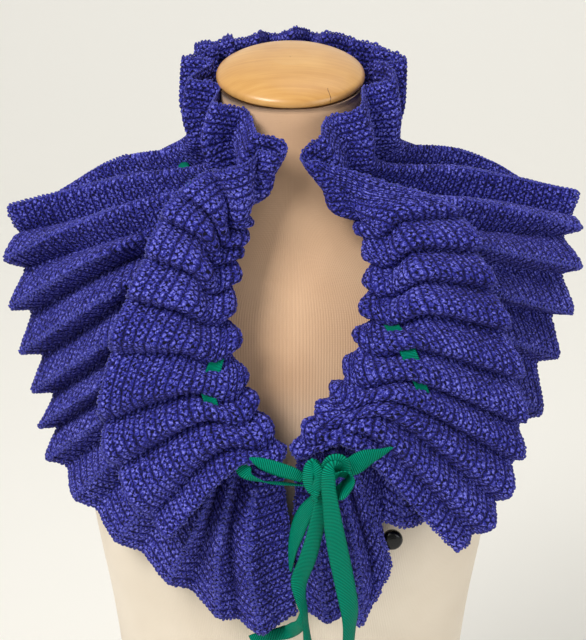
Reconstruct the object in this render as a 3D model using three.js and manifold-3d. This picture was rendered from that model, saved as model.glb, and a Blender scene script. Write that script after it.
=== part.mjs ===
// A knitted capelet in deep accordion pleats, worn on a dress form.
// One long band goes round the neck: it stands up as a frilled collar behind and folds
// outwards in front as two lapels. A ribbon is threaded through the pleats and tied.
// Millimetres, +Z up, the form faces -Y, origin in the middle of the form's flat underside.
import * as THREE from "three";
import Module from "manifold-3d";

const wasm = await Module();
wasm.setup();

// Driving sizes of the knitted band
const PLEATS = 34;
const WALL = 3;
const FACE = 31; // cloth from a ridge to the next valley
const RIDGE_SHARE = 0.15; // part of one pleat that its blunt ridge takes up
const FOLD_ROOM = 1.15; // room at the inside of a fold, against the least the wall needs
const LEAST_DEPTH = 4; // ridge to valley where the pleats lie flattest
const MOST_TURN = 0.95; // sharpest fold, as the tangent of a quarter of its angle
const LAPEL_TURN = 160; // how far off centre a lapel rolls over at 45 degrees
const LAPEL_RISE = 0.15; // how much the rolls look upwards
const ROWS_BELOW_RIBBON = 11;
const ROWS_ABOVE_RIBBON = 5;

// Driving sizes of the ribbon
const RIBBON_WIDTH = 16;
const RIBBON_THICK = 0.9;
const THREADED_WIDTH = 10; // creased narrower where it runs through the pleats
const SLOT_MARGIN = 0.032; // plain cloth kept each side of the ribbon, as a share of the width
const SLOT_CLEARANCE = 0.8;
const THREADED_STEPS = 2; // pieces of threaded ribbon in a pleat
const BOW_STEPS = 2; // pieces between two rows of a strip

// Gap kept between pieces that touch
const SEAT = 0.3;

// How finely the smooth curves are read
const DENSE_ROWS = 61;
const FINE_STEPS = 120;
const ALONG_STEP = 0.35; // pleats
const ACROSS_STEP = 0.02; // share of the band's width
const PATH_STEP = 0.1; // rows of a bow strip
const LEAST_LEAN = 0.75; // keeps a corner's offset under 4/3 of the wall's

// Sections of the band, from the left front end (pleat 0) round the back of the neck to
// the right front end. Each runs from the hem over the drape of the cape to the roll line,
// then over the lapel or up the collar to the free edge. fold is the radius at the roll.
const sections = [
  { pleat: 0, fold: 8, hem: [4, -139, 377], drape: [-1, -146, 452], roll: [-5, -155, 529],
    lay: [-42, -169, 524], edge: [-92, -166, 464] },
  { pleat: 0.5, fold: 10, hem: [-23, -138, 363], drape: [-34, -148, 450], roll: [-10, -153, 538],
    lay: [-52, -168, 532], edge: [-106, -164, 474] },
  { pleat: 1.5, fold: 13, hem: [-57, -135, 377], drape: [-54, -148, 460], roll: [-24, -148, 558],
    lay: [-66, -163, 554], edge: [-131, -157, 512] },
  { pleat: 2.7, fold: 14, hem: [-104, -131, 413], drape: [-72, -146, 478], roll: [-34, -140, 578],
    lay: [-77, -156, 578], edge: [-142, -148, 552] },
  { pleat: 4, fold: 14, hem: [-153, -108, 448], drape: [-108, -126, 512], roll: [-42, -128, 608],
    lay: [-80, -145, 614], edge: [-131, -137, 618] },
  { pleat: 5.5, fold: 14, hem: [-192, -60, 479], drape: [-127, -106, 550], roll: [-44, -112, 643],
    lay: [-72, -130, 655], edge: [-110, -124, 666] },
  { pleat: 7, fold: 13, hem: [-198, -46, 518], drape: [-131, -96, 586], roll: [-41, -98, 667],
    lay: [-63, -112, 688], edge: [-92, -105, 704] },
  { pleat: 8.5, fold: 10, hem: [-212, -25, 560], drape: [-137, -82, 628], roll: [-36, -92, 682],
    lay: [-49, -101, 708], edge: [-66, -98, 728] },
  { pleat: 10, fold: 0, hem: [-222, -8, 612], drape: [-134, -58, 667], roll: [-31, -78, 705],
    lay: [-20, -82, 727], edge: [-12, -87, 746] },
  { pleat: 11.5, fold: 0, hem: [-225, 26, 652], drape: [-137, 8, 682], roll: [-56, -44, 716],
    lay: [-58, -46, 742], edge: [-51, -42, 768] },
  { pleat: 13, fold: 0, hem: [-197, 94, 624], drape: [-128, 60, 683], roll: [-75, 14, 718],
    lay: [-76, 14, 750], edge: [-73, 17, 782] },
  { pleat: 15, fold: 0, hem: [-110, 130, 545], drape: [-77, 101, 641], roll: [-53, 66, 710],
    lay: [-56, 69, 752], edge: [-59, 76, 789] },
  { pleat: 17, fold: 0, hem: [0, 133, 514], drape: [0, 110, 635], roll: [0, 84, 708],
    lay: [0, 88, 750], edge: [0, 96, 790] },
  { pleat: 19, fold: 0, hem: [110, 130, 545], drape: [77, 101, 641], roll: [53, 66, 710],
    lay: [56, 69, 752], edge: [60, 76, 787] },
  { pleat: 21, fold: 0, hem: [200, 92, 634], drape: [130, 60, 688], roll: [78, 12, 718],
    lay: [80, 12, 750], edge: [79, 15, 782] },
  { pleat: 22.5, fold: 0, hem: [229, 24, 664], drape: [138, 8, 690], roll: [63, -45, 718],
    lay: [56, -51, 744], edge: [48, -50, 770] },
  { pleat: 24, fold: 0, hem: [226, -4, 642], drape: [136, -54, 673], roll: [42, -79, 694],
    lay: [31, -82, 716], edge: [18, -86, 738] },
  { pleat: 25, fold: 10, hem: [225, -18, 610], drape: [138, -72, 648], roll: [53, -86, 681],
    lay: [78, -97, 699], edge: [118, -88, 703] },
  { pleat: 26.5, fold: 12, hem: [209, -38, 562], drape: [134, -92, 610], roll: [61, -99, 655],
    lay: [94, -113, 671], edge: [144, -103, 665] },
  { pleat: 28, fold: 14, hem: [187, -66, 500], drape: [129, -104, 566], roll: [58, -114, 627],
    lay: [101, -131, 638], edge: [161, -117, 622] },
  { pleat: 29.2, fold: 14, hem: [147, -112, 475], drape: [116, -120, 534], roll: [51, -126, 606],
    lay: [98, -143, 609], edge: [174, -122, 577] },
  { pleat: 30.3, fold: 14, hem: [96, -141, 459], drape: [85, -136, 508], roll: [40, -137, 586],
    lay: [90, -153, 587], edge: [177, -127, 538] },
  { pleat: 31, fold: 14, hem: [64, -144, 462], drape: [69, -141, 496], roll: [32, -142, 575],
    lay: [84, -158, 576], edge: [176, -130, 518] },
  { pleat: 31.6, fold: 14, hem: [78, -140, 423], drape: [57, -145, 474], roll: [25, -145, 567],
    lay: [78, -161, 569], edge: [172, -133, 500] },
  { pleat: 32.5, fold: 14, hem: [56, -135, 372], drape: [50, -146, 446], roll: [16, -149, 554],
    lay: [69, -165, 559], edge: [161, -141, 474] },
  { pleat: 33.5, fold: 11, hem: [28, -137, 374], drape: [21, -147, 448], roll: [6, -153, 541],
    lay: [55, -168, 547], edge: [143, -150, 452] },
  { pleat: 34, fold: 8, hem: [8, -140, 381], drape: [3, -146, 448], roll: [2, -155, 532],
    lay: [45, -168, 541], edge: [125, -157, 447] },
];

// Height of the pleats, ridge to valley, along the same five places of the sections, and
// the share of the band's width, from the hem, at which the ribbon is threaded
const pleatShapes = [
  { pleat: 0, hem: 9, drape: 11, roll: 4, lay: 11, edge: 10, ribbon: 0.7 },
  { pleat: 1.5, hem: 9, drape: 13, roll: 5, lay: 11, edge: 11, ribbon: 0.71 },
  { pleat: 3.5, hem: 8, drape: 14, roll: 7, lay: 13, edge: 11, ribbon: 0.73 },
  { pleat: 6.5, hem: 14, drape: 20, roll: 7, lay: 13, edge: 11, ribbon: 0.72 },
  { pleat: 9.5, hem: 17, drape: 21, roll: 10, lay: 10, edge: 11, ribbon: 0.69 },
  { pleat: 12, hem: 19, drape: 19, roll: 13, lay: 14, edge: 13, ribbon: 0.65 },
  { pleat: 17, hem: 19, drape: 20, roll: 14, lay: 14, edge: 14, ribbon: 0.67 },
  { pleat: 22, hem: 19, drape: 19, roll: 12, lay: 12, edge: 11, ribbon: 0.65 },
  { pleat: 24.5, hem: 17, drape: 17, roll: 5, lay: 8, edge: 11, ribbon: 0.69 },
  { pleat: 27.5, hem: 14, drape: 20, roll: 7, lay: 13, edge: 13, ribbon: 0.695 },
  { pleat: 30, hem: 9, drape: 14, roll: 7, lay: 13, edge: 14, ribbon: 0.69 },
  { pleat: 30.8, hem: 2, drape: 11, roll: 5, lay: 9, edge: 13, ribbon: 0.69 },
  { pleat: 32.5, hem: 12, drape: 12, roll: 5, lay: 8, edge: 13, ribbon: 0.69 },
  { pleat: 34, hem: 10, drape: 11, roll: 3, lay: 7, edge: 10, ribbon: 0.7 },
];

// Cross-sections of the dress form, from its flat underside to the neck
const formRows = [
  { z: 0, halfWidth: 172, front: -110, back: 118 },
  { z: 60, halfWidth: 172, front: -112, back: 118 },
  { z: 140, halfWidth: 156, front: -108, back: 100 },
  { z: 220, halfWidth: 144, front: -98, back: 80 },
  { z: 280, halfWidth: 147, front: -102, back: 78 },
  { z: 340, halfWidth: 153, front: -113, back: 80 },
  { z: 390, halfWidth: 160, front: -126, back: 85 },
  { z: 435, halfWidth: 166, front: -131, back: 90 },
  { z: 480, halfWidth: 168, front: -128, back: 95 },
  { z: 530, halfWidth: 172, front: -117, back: 98 },
  { z: 575, halfWidth: 178, front: -100, back: 98 },
  { z: 608, halfWidth: 176, front: -85, back: 94 },
  { z: 632, halfWidth: 152, front: -74, back: 86 },
  { z: 654, halfWidth: 118, front: -66, back: 77 },
  { z: 674, halfWidth: 88, front: -61, back: 70 },
  { z: 692, halfWidth: 69, front: -58, back: 65 },
  { z: 718, halfWidth: 60, front: -56, back: 62 },
  { z: 774, halfWidth: 57, front: -52, back: 62, lean: 0.15 },
];
const FORM_SEGMENTS = 48;
const FORM_ROUNDNESS = 2.3; // power of the superellipse

// Neck cap: a shallow wooden dome in line with the form's leaning top
const capRows = [
  { radius: 55, height: 0 },
  { radius: 58, height: 1.5 },
  { radius: 58, height: 5 },
  { radius: 55.5, height: 8 },
  { radius: 47, height: 12.6 },
  { radius: 34, height: 16.2 },
  { radius: 18, height: 18.4 },
];
const CAP_HEIGHT = 19;
const CAP_LENGTH = 1.02; // front to back, against its width

// Knob on the front of the form, turned about its own axis
const KNOB_PLACE = [78.5, -130, 443.2];
const KNOB_AXIS = [0.12, -0.99, 0.02];
const knobRows = [
  { radius: 5, height: 0 },
  { radius: 5, height: 4 },
  { radius: 7.4, height: 4.4 },
  { radius: 8.2, height: 6.5 },
  { radius: 8.2, height: 9 },
  { radius: 6.6, height: 11.2 },
  { radius: 3.4, height: 12.2 },
];
const KNOB_HEIGHT = 12.5;
const KNOB_SEGMENTS = 24;

// The tied ribbon, as strips along these points; turn rolls a strip about its own path,
// 0 keeps it flat to the front, and width is the share of the ribbon's width that it keeps
const bowStrips = [
  { name: "strand from the left", rows: [
    { x: -40, y: -176, z: 520, turn: 0, width: 0.9 },
    { x: -27, y: -178, z: 519, turn: 15, width: 1 },
    { x: -10, y: -180, z: 518, turn: 35, width: 0.8 },
    { x: 7, y: -182, z: 518, turn: 25, width: 0.7 },
    { x: 22, y: -181, z: 520, turn: 0, width: 0.7 },
  ] },
  { name: "strand from the right", rows: [
    { x: 77, y: -174, z: 540, turn: 0, width: 0.5 },
    { x: 63, y: -179, z: 536, turn: 5, width: 0.9 },
    { x: 47, y: -183, z: 531, turn: 0, width: 1 },
    { x: 32, y: -184, z: 526, turn: -20, width: 0.8 },
    { x: 20, y: -183, z: 520, turn: -20, width: 0.6 },
  ] },
  { name: "wrap of the knot", rows: [
    { x: 12, y: -177, z: 512, turn: 0, width: 0.8 },
    { x: 14, y: -186, z: 516, turn: 0, width: 0.9 },
    { x: 22, y: -190, z: 523, turn: 0, width: 0.9 },
    { x: 29, y: -187, z: 531, turn: 0, width: 0.8 },
    { x: 31, y: -180, z: 535, turn: 0, width: 0.7 },
  ] },
  { name: "fold on top", rows: [
    { x: 20, y: -184, z: 522, turn: 0, width: 0.7 },
    { x: 25, y: -186, z: 534, turn: 10, width: 0.9 },
    { x: 29, y: -184, z: 541, turn: 10, width: 0.9 },
    { x: 31, y: -180, z: 536, turn: 10, width: 0.8 },
    { x: 27, y: -179, z: 524, turn: 0, width: 0.7 },
  ] },
  { name: "small loop", rows: [
    { x: 26, y: -185, z: 520, turn: 60, width: 0.6 },
    { x: 34, y: -186, z: 528, turn: 70, width: 0.7 },
    { x: 43, y: -187, z: 527, turn: 75, width: 0.7 },
    { x: 46, y: -186, z: 519, turn: 75, width: 0.7 },
    { x: 40, y: -185, z: 512, turn: 70, width: 0.7 },
    { x: 29, y: -184, z: 514, turn: 60, width: 0.6 },
  ] },
  { name: "tail in front", rows: [
    { x: 24, y: -188, z: 524, turn: 0, width: 0.7 },
    { x: 28, y: -190, z: 512, turn: 0, width: 0.8 },
    { x: 32, y: -190, z: 490, turn: 5, width: 0.9 },
    { x: 34, y: -185, z: 462, turn: 0, width: 1 },
    { x: 38, y: -177, z: 428, turn: -10, width: 1 },
    { x: 44, y: -171, z: 395, turn: -20, width: 0.95 },
    { x: 46, y: -167, z: 366, turn: -45, width: 0.9 },
    { x: 45, y: -165, z: 342, turn: -55, width: 0.9 },
  ] },
  { name: "tail at the side", rows: [
    { x: 22, y: -180, z: 518, turn: 0, width: 0.7 },
    { x: 23, y: -180, z: 500, turn: -5, width: 0.9 },
    { x: 21, y: -178, z: 474, turn: -10, width: 1 },
    { x: 16, y: -172, z: 442, turn: -15, width: 1 },
    { x: 9, y: -168, z: 410, turn: -20, width: 1 },
    { x: 10, y: -166, z: 386, turn: -50, width: 0.9 },
    { x: 15, y: -164, z: 364, turn: -80, width: 0.9 },
    { x: 18, y: -162, z: 342, turn: -60, width: 0.9 },
  ] },
  { name: "tail behind", rows: [
    { x: 18, y: -179, z: 518, turn: 0, width: 0.6 },
    { x: 14, y: -177, z: 502, turn: 20, width: 0.7 },
    { x: 7, y: -171, z: 480, turn: 35, width: 0.8 },
    { x: 2, y: -165, z: 454, turn: 50, width: 0.9 },
    { x: -1, y: -160, z: 428, turn: 60, width: 0.9 },
    { x: -2, y: -154, z: 404, turn: 60, width: 0.9 },
  ] },
];

const CLOTH = new THREE.MeshStandardMaterial({ color: 0x4a3fb8, roughness: 0.95, metalness: 0 });
const RIBBON = new THREE.MeshStandardMaterial({ color: 0x0f8a62, roughness: 0.5, metalness: 0 });
const JERSEY = new THREE.MeshStandardMaterial({ color: 0xe6d3b4, roughness: 0.95, metalness: 0 });
const WOOD = new THREE.MeshStandardMaterial({ color: 0xe5b46a, roughness: 0.4, metalness: 0 });
const BLACK = new THREE.MeshStandardMaterial({ color: 0x111113, roughness: 0.25, metalness: 0 });

const vec = (p) => new THREE.Vector3(p[0], p[1], p[2]);

// Catmull-Rom value at t through values[i] standing at places[i], for uneven spacing
function through(places, values, t) {
  const last = places.length - 1;
  let i = 0;
  while (i < last - 1 && t > places[i + 1]) i += 1;
  const span = places[i + 1] - places[i];
  const slope = (k) => {
    const a = Math.max(k - 1, 0);
    const b = Math.min(k + 1, last);
    return values[b].clone().sub(values[a]).divideScalar(places[b] - places[a]);
  };
  const s = (t - places[i]) / span;
  const later = 3 * s ** 2 - 2 * s ** 3;
  return values[i].clone().multiplyScalar(1 - later)
    .addScaledVector(slope(i), (s ** 3 - 2 * s ** 2 + s) * span)
    .addScaledVector(values[i + 1], later)
    .addScaledVector(slope(i + 1), (s ** 3 - s ** 2) * span);
}

// One column of the pleat shapes at any pleat
function shapeAt(column, pleat) {
  const places = pleatShapes.map((row) => row.pleat);
  return through(places, pleatShapes.map((row) => new THREE.Vector3(row[column], 0, 0)), pleat).x;
}

// The named points of one section, with two more round the fold where the cloth rolls over
function sectionPoints(row) {
  const roll = vec(row.roll);
  const points = [vec(row.hem), vec(row.drape)];
  const names = ["hem", "drape"];
  if (row.fold > 0) {
    const outward = new THREE.Vector3(roll.x / LAPEL_TURN, -1, LAPEL_RISE).normalize();
    const rise = roll.clone().sub(points[1]).normalize();
    const inward = rise.sub(vec(row.lay).sub(roll).normalize());
    inward.addScaledVector(outward, -inward.dot(outward)).normalize();
    const centre = roll.clone().addScaledVector(inward, -row.fold);
    points.push(centre.clone().addScaledVector(outward, -row.fold));
    points.push(roll);
    points.push(centre.clone().addScaledVector(outward, row.fold));
    names.push("roll", "roll", "roll");
  } else {
    points.push(roll);
    names.push("roll");
  }
  points.push(vec(row.lay), vec(row.edge));
  names.push("lay", "edge");
  return { points, depths: names.map((name) => shapeAt(name, row.pleat)) };
}

// Which step of rising places t falls in, and how far along it
function stepAt(places, t) {
  let k = 0;
  while (k < places.length - 2 && t > places[k + 1]) k += 1;
  return { k, mix: (t - places[k]) / (places[k + 1] - places[k]) };
}

// Points along one section at even steps of cloth, with the pleat depth beside each
function sectionLine(row, count) {
  const { points, depths } = sectionPoints(row);
  const places = [0];
  for (let i = 1; i < points.length; i += 1) {
    places.push(places[i - 1] + Math.sqrt(points[i].distanceTo(points[i - 1])));
  }
  const fine = [];
  const run = [0];
  for (let i = 0; i <= FINE_STEPS; i += 1) {
    const t = places[places.length - 1] * i / FINE_STEPS;
    const { k, mix } = stepAt(places, t);
    const depth = depths[k] + (depths[k + 1] - depths[k]) * mix;
    fine.push({ point: through(places, points, t), depth });
    if (i > 0) run.push(run[i - 1] + fine[i].point.distanceTo(fine[i - 1].point));
  }
  const line = [];
  for (let j = 0; j < count; j += 1) {
    const { k, mix } = stepAt(run, run[FINE_STEPS] * j / (count - 1));
    const point = fine[k].point.clone().lerp(fine[k + 1].point, mix);
    line.push({ point, depth: fine[k].depth + (fine[k + 1].depth - fine[k].depth) * mix });
  }
  return line;
}

const lines = sections.map((row) => sectionLine(row, DENSE_ROWS));
const pleatPlaces = sections.map((row) => row.pleat);

// The smooth sheet that the pleats follow: u counts pleats, v goes from hem (0) to edge (1)
function sheetPoint(u, v) {
  const row = v * (DENSE_ROWS - 1);
  const j = Math.min(Math.floor(row), DENSE_ROWS - 2);
  const a = through(pleatPlaces, lines.map((line) => line[j].point), u);
  const b = through(pleatPlaces, lines.map((line) => line[j + 1].point), u);
  return a.lerp(b, row - j);
}

// Depth of the pleats there, as the table has it
function sheetDepth(u, v) {
  const row = v * (DENSE_ROWS - 1);
  const j = Math.min(Math.floor(row), DENSE_ROWS - 2);
  const depths = (k) => lines.map((line) => new THREE.Vector3(line[k].depth, 0, 0));
  const a = through(pleatPlaces, depths(j), u);
  const b = through(pleatPlaces, depths(j + 1), u);
  return a.lerp(b, row - j).x;
}

// Place, across and outward directions of the smooth sheet, and the width of a pleat on it
function sheetFrame(u, v) {
  const u0 = Math.max(u - ALONG_STEP, 0);
  const u1 = Math.min(u + ALONG_STEP, PLEATS);
  const v0 = Math.max(v - ACROSS_STEP, 0);
  const v1 = Math.min(v + ACROSS_STEP, 1);
  const along = sheetPoint(u1, v).sub(sheetPoint(u0, v));
  const pitch = along.length() / (u1 - u0);
  const across = sheetPoint(u, v1).sub(sheetPoint(u, v0)).normalize();
  const normal = across.clone().cross(along).normalize();
  return { point: sheetPoint(u, v), across, normal, pitch };
}

// How far the pleated cloth stands off the smooth sheet: blunt ridges at half pleats
function pleatHeight(u, v, pitch) {
  const phase = u - Math.floor(u);
  const rise = (0.5 - Math.abs(phase - 0.5)) * 2;
  const slope = (rise - RIDGE_SHARE) / (1 - 2 * RIDGE_SHARE);
  const wave = THREE.MathUtils.clamp(slope, 0, 1) * 2 - 1;
  const room = Math.sqrt(Math.max(FACE ** 2 - (pitch / 2) ** 2, LEAST_DEPTH ** 2));
  // Steepest face whose wall still turns over the blunt ridge without meeting itself
  const turn = Math.min(pitch * RIDGE_SHARE / (FOLD_ROOM * WALL), MOST_TURN);
  const steepest = (0.5 - RIDGE_SHARE) * pitch * 2 * turn / (1 - turn ** 2);
  return wave * Math.min(room, steepest, sheetDepth(u, v)) / 2;
}

function meshFrom(positions, faces, name, material) {
  const geometry = new THREE.BufferGeometry();
  geometry.setAttribute("position", new THREE.Float32BufferAttribute(positions.flat(), 3));
  geometry.setIndex(faces.flat());
  geometry.computeVertexNormals();
  const mesh = new THREE.Mesh(geometry, material);
  mesh.name = name;
  return mesh;
}

// A closed wall from a grid of middle points: both faces, then the four rims
function wallFaces(columns, rows) {
  const faces = [];
  const front = (i, j) => i * rows + j;
  const back = (i, j) => columns * rows + i * rows + j;
  const quad = (a, b, c, d) => faces.push([a, b, c], [a, c, d]);
  for (let i = 0; i < columns - 1; i += 1) {
    for (let j = 0; j < rows - 1; j += 1) {
      quad(front(i, j), front(i, j + 1), front(i + 1, j + 1), front(i + 1, j));
      quad(back(i, j), back(i + 1, j), back(i + 1, j + 1), back(i, j + 1));
    }
    quad(front(i, 0), front(i + 1, 0), back(i + 1, 0), back(i, 0));
    quad(front(i, rows - 1), back(i, rows - 1), back(i + 1, rows - 1), front(i + 1, rows - 1));
  }
  const last = columns - 1;
  for (let j = 0; j < rows - 1; j += 1) {
    quad(front(0, j), back(0, j), back(0, j + 1), front(0, j + 1));
    quad(front(last, j), front(last, j + 1), back(last, j + 1), back(last, j));
  }
  return faces;
}

// Offsets a grid of points to both sides so that the wall keeps its thickness at the folds
function thicken(grid, thickness) {
  const columns = grid.length;
  const rows = grid[0].length;
  const faceNormal = (i, j) => {
    const a = grid[i][j + 1].clone().sub(grid[i + 1][j]);
    const b = grid[i + 1][j + 1].clone().sub(grid[i][j]);
    return a.cross(b).normalize();
  };
  const front = [];
  const back = [];
  for (let i = 0; i < columns; i += 1) {
    for (let j = 0; j < rows; j += 1) {
      const around = [];
      for (const ci of [i - 1, i]) {
        for (const cj of [j - 1, j]) {
          if (ci >= 0 && ci < columns - 1 && cj >= 0 && cj < rows - 1) around.push(faceNormal(ci, cj));
        }
      }
      const normal = around.reduce((sum, n) => sum.add(n), new THREE.Vector3()).normalize();
      const lean = around.reduce((least, n) => Math.min(least, n.dot(normal)), 1);
      const half = thickness / 2 / Math.max(lean, LEAST_LEAN);
      front.push(grid[i][j].clone().addScaledVector(normal, half).toArray());
      back.push(grid[i][j].clone().addScaledVector(normal, -half).toArray());
    }
  }
  return { positions: front.concat(back), faces: wallFaces(columns, rows) };
}

// Solids for manifold-3d and back
function toManifold({ positions, faces }) {
  return new wasm.Manifold(new wasm.Mesh({
    numProp: 3,
    vertProperties: new Float32Array(positions.flat()),
    triVerts: new Uint32Array(faces.flat()),
  }));
}

function fromManifold(solid, name, material) {
  const { vertProperties, triVerts, numProp } = solid.getMesh();
  const positions = [];
  for (let i = 0; i < vertProperties.length; i += numProp) {
    positions.push([...vertProperties.slice(i, i + 3)]);
  }
  return meshFrom(positions, [...triVerts], name, material);
}

// The band's columns stand at both shoulders of each blunt ridge and valley
function bandColumns() {
  const half = RIDGE_SHARE / 2;
  const columns = [0];
  for (let k = 0; k < PLEATS; k += 1) {
    columns.push(k + half, k + 0.5 - half, k + 0.5 + half, k + 1 - half);
  }
  columns.push(PLEATS);
  return columns;
}

// Rows leave one plain strip of cloth for the ribbon's slots
function bandRows(u) {
  const ribbon = shapeAt("ribbon", u);
  const rows = [];
  for (let j = 0; j < ROWS_BELOW_RIBBON; j += 1) {
    rows.push((ribbon - SLOT_MARGIN) * j / (ROWS_BELOW_RIBBON - 1));
  }
  for (let j = 0; j < ROWS_ABOVE_RIBBON; j += 1) {
    const share = j / (ROWS_ABOVE_RIBBON - 1);
    rows.push((ribbon + SLOT_MARGIN) * (1 - share) + share);
  }
  return rows;
}

function bandGrid() {
  return bandColumns().map((u) => {
    const column = [];
    for (const v of bandRows(u)) {
      const frame = sheetFrame(u, v);
      column.push(frame.point.addScaledVector(frame.normal, pleatHeight(u, v, frame.pitch)));
    }
    return column;
  });
}

// The stretch of ribbon threaded through the pleats, as wide as given
function threadedGrid(width) {
  const grid = [];
  for (let i = 0; i <= PLEATS * THREADED_STEPS; i += 1) {
    const u = i / THREADED_STEPS;
    const { point, across } = sheetFrame(u, shapeAt("ribbon", u));
    grid.push([-width / 2, width / 2].map((out) => point.clone().addScaledVector(across, out)));
  }
  return grid;
}

// A closed solid through rings of points, with a middle point at either end
function lofted(rings, first, last, name, material) {
  const around = rings[0].length;
  const positions = rings.flat();
  const faces = [];
  for (let r = 0; r < rings.length - 1; r += 1) {
    for (let i = 0; i < around; i += 1) {
      const a = r * around + i;
      const b = r * around + (i + 1) % around;
      faces.push([a, b, b + around], [a, b + around, a + around]);
    }
  }
  const bottom = positions.push(first) - 1;
  const top = positions.push(last) - 1;
  const rim = (rings.length - 1) * around;
  for (let i = 0; i < around; i += 1) {
    const next = (i + 1) % around;
    faces.push([bottom, next, i], [top, rim + i, rim + next]);
  }
  return meshFrom(positions, faces, name, material);
}

// The form's rings are superellipses
function makeForm() {
  const power = 2 / FORM_ROUNDNESS;
  const rings = formRows.map((row) => {
    const middle = (row.front + row.back) / 2;
    const halfDepth = (row.back - row.front) / 2;
    const ring = [];
    for (let i = 0; i < FORM_SEGMENTS; i += 1) {
      const angle = 2 * Math.PI * i / FORM_SEGMENTS;
      const c = Math.cos(angle);
      const s = Math.sin(angle);
      const y = middle + halfDepth * Math.sign(s) * Math.abs(s) ** power;
      ring.push([row.halfWidth * Math.sign(c) * Math.abs(c) ** power, y, row.z + (row.lean ?? 0) * y]);
    }
    return ring;
  });
  const neck = formRows[formRows.length - 1];
  const middle = (neck.front + neck.back) / 2;
  const top = [0, middle, neck.z + neck.lean * middle];
  return lofted(rings, [0, 0, 0], top, "form_torso", JERSEY);
}

// The cap's rings lie square to the leaning neck
function makeCap() {
  const neck = formRows[formRows.length - 1];
  const middle = (neck.front + neck.back) / 2;
  const tilt = Math.atan(neck.lean);
  const base = new THREE.Vector3(0, middle, neck.z + neck.lean * middle);
  const forward = new THREE.Vector3(0, Math.cos(tilt), Math.sin(tilt));
  const up = new THREE.Vector3(0, -Math.sin(tilt), Math.cos(tilt));
  const at = (x, y, height) => base.clone()
    .add(new THREE.Vector3(x, 0, 0))
    .addScaledVector(forward, y)
    .addScaledVector(up, SEAT + height)
    .toArray();
  const rings = capRows.map((row) => {
    const ring = [];
    for (let i = 0; i < FORM_SEGMENTS; i += 1) {
      const angle = 2 * Math.PI * i / FORM_SEGMENTS;
      const y = CAP_LENGTH * row.radius * Math.sin(angle);
      ring.push(at(row.radius * Math.cos(angle), y, row.height));
    }
    return ring;
  });
  return lofted(rings, at(0, 0, capRows[0].height), at(0, 0, CAP_HEIGHT), "neck_cap", WOOD);
}

// The knob's rings lie square to its own axis
function makeKnob() {
  const axis = vec(KNOB_AXIS).normalize();
  const side = new THREE.Vector3(0, 0, 1).cross(axis).normalize();
  const up = axis.clone().cross(side);
  const at = (radius, angle, height) => vec(KNOB_PLACE)
    .addScaledVector(axis, SEAT + height)
    .addScaledVector(side, radius * Math.cos(angle))
    .addScaledVector(up, radius * Math.sin(angle))
    .toArray();
  const rings = knobRows.map((row) => {
    const ring = [];
    for (let i = 0; i < KNOB_SEGMENTS; i += 1) {
      ring.push(at(row.radius, 2 * Math.PI * i / KNOB_SEGMENTS, row.height));
    }
    return ring;
  });
  return lofted(rings, at(0, 0, knobRows[0].height), at(0, 0, KNOB_HEIGHT), "form_knob", BLACK);
}

// One strip of ribbon as a closed wall
function ribbonStrip(rows) {
  const places = rows.map((row, i) => i);
  const spots = rows.map((row) => new THREE.Vector3(row.x, row.y, row.z));
  const sizes = rows.map((row) => new THREE.Vector3(row.turn, row.width, 0));
  const steps = (rows.length - 1) * BOW_STEPS;
  const front = new THREE.Vector3(0, -1, 0);
  const grid = [];
  for (let i = 0; i <= steps; i += 1) {
    const t = i / BOW_STEPS;
    const spot = through(places, spots, t);
    const size = through(places, sizes, t);
    const ahead = through(places, spots, Math.min(t + PATH_STEP, rows.length - 1));
    const path = ahead.sub(through(places, spots, Math.max(t - PATH_STEP, 0))).normalize();
    const side = path.clone().cross(front).normalize();
    side.applyAxisAngle(path, THREE.MathUtils.degToRad(size.x));
    const reach = RIBBON_WIDTH * size.y / 2;
    grid.push([-reach, reach].map((out) => spot.clone().addScaledVector(side, out)));
  }
  return toManifold(thicken(grid, RIBBON_THICK));
}

const group = new THREE.Group();
group.add(makeForm());
group.add(makeCap());
group.add(makeKnob());

const threaded = thicken(threadedGrid(THREADED_WIDTH), RIBBON_THICK);
const slots = thicken(
  threadedGrid(THREADED_WIDTH + 2 * SLOT_CLEARANCE),
  RIBBON_THICK + 2 * SLOT_CLEARANCE,
);
const slotted = toManifold(thicken(bandGrid(), WALL)).subtract(toManifold(slots));
// The slots free a few crumbs of wall, so only the largest body is the band
const band = slotted.decompose().sort((a, b) => b.volume() - a.volume())[0];
group.add(fromManifold(band, "capelet_band", CLOTH));
group.add(meshFrom(threaded.positions, threaded.faces, "ribbon_threaded", RIBBON));

const bow = bowStrips.map((strip) => ribbonStrip(strip.rows)).reduce((sum, strip) => sum.add(strip));
group.add(fromManifold(bow, "ribbon_bow", RIBBON));

export default group;
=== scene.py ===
# %% [markdown]
# # A pleated knitted capelet on a dress form
#
# One long band of garter stitch goes round the neck. It falls in deep accordion pleats as a
# cape, turns out in front as two lapels, and stands up behind as a frilled collar. A ribbon
# is threaded through every pleat and tied in front. All sizes below are millimetres; a mesh
# is turned to metres only when it is made.

# %% Helpers and the CAD model's parts
import math
from functools import partialmethod

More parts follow.
